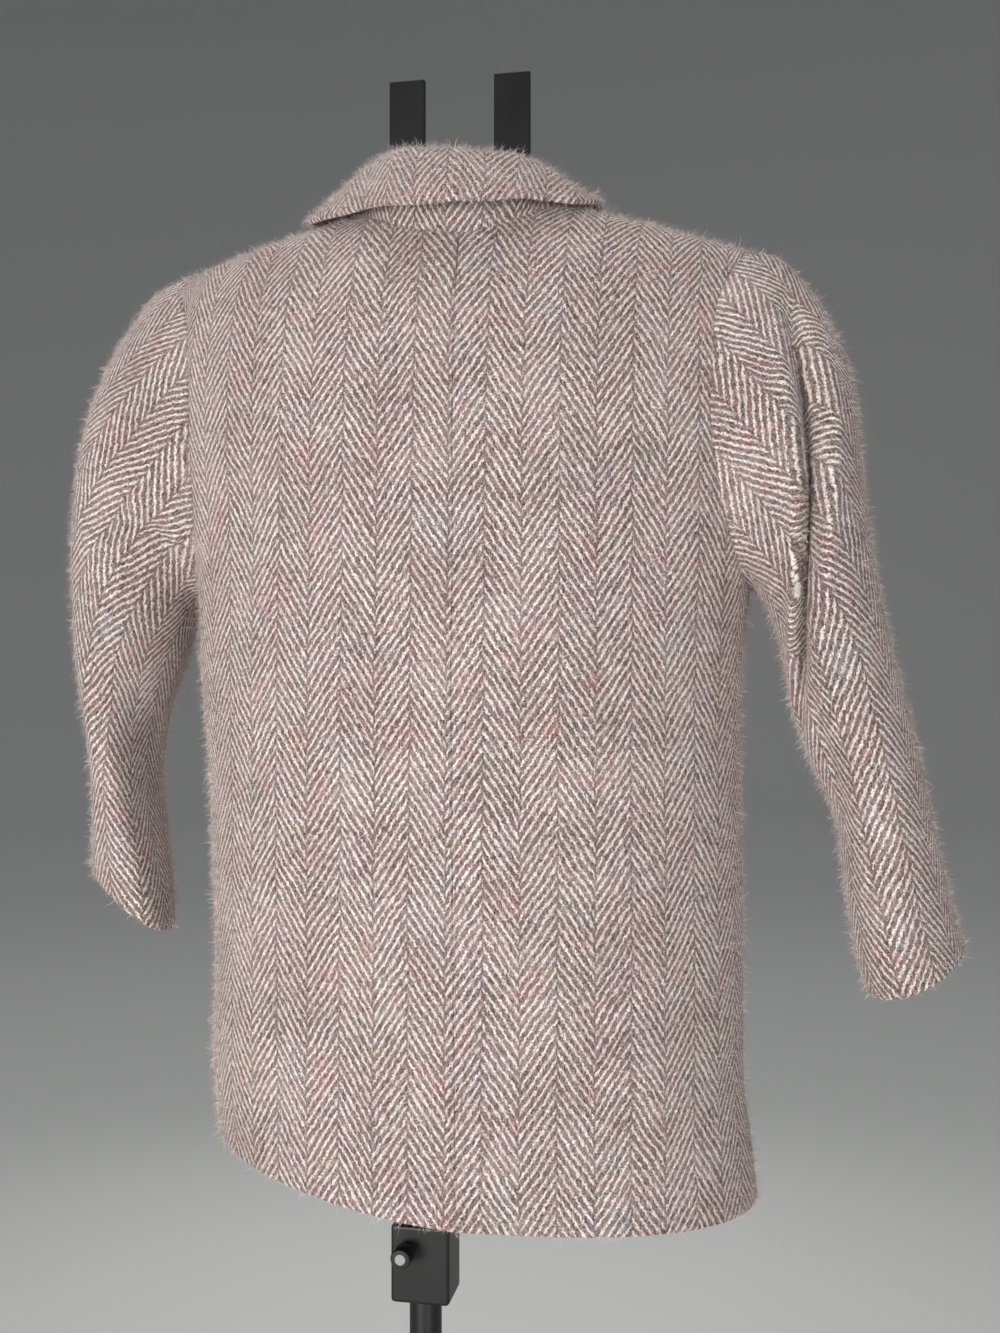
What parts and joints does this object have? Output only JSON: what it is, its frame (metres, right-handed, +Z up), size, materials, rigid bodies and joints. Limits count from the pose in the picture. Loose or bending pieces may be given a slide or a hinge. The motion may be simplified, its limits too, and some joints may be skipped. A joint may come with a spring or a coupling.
{
  "type": "pea coat on a display stand",
  "caption": "Herringbone wool pea coat, double breasted, filled out on a smooth limbless form with a round base, seen from the back.",
  "frame": {"origin": "centre of the base's flat underside, on the post's axis", "axes": "+Z up; the coat's front faces -Y and its back +Y; +X is the wearer's left"},
  "size_m": [0.7076, 0.34, 1.556],
  "materials": {
    "wool_cloth": "brushed herringbone wool, soft nap",
    "wool_collar": "brushed herringbone wool, soft nap",
    "button_resin": "polished dark resin",
    "black_steel": "satin black powder coat",
    "black_form": "matte black moulded shell"
  },
  "bodies": {
    "root": {"back_left": "wool_cloth", "back_right": "wool_cloth", "front_left": "wool_cloth", "front_right": "wool_cloth", "sleeve_left": "wool_cloth", "sleeve_right": "wool_cloth", "lapel_left": "wool_cloth", "lapel_right": "wool_cloth", "collar_leaf": "wool_collar", "collar_stand": "wool_collar", "button_1": "button_resin", "button_2": "button_resin", "button_3": "button_resin", "button_4": "button_resin", "button_5": "button_resin", "button_6": "button_resin", "display_form": "black_form", "stand_base": "black_steel", "stand_post": "black_steel", "stand_clamp": "black_steel", "stand_post_upper": "black_steel", "stand_knob": "black_steel", "stand_bar_left": "black_steel", "stand_bar_right": "black_steel"}
  },
  "joints": []
}
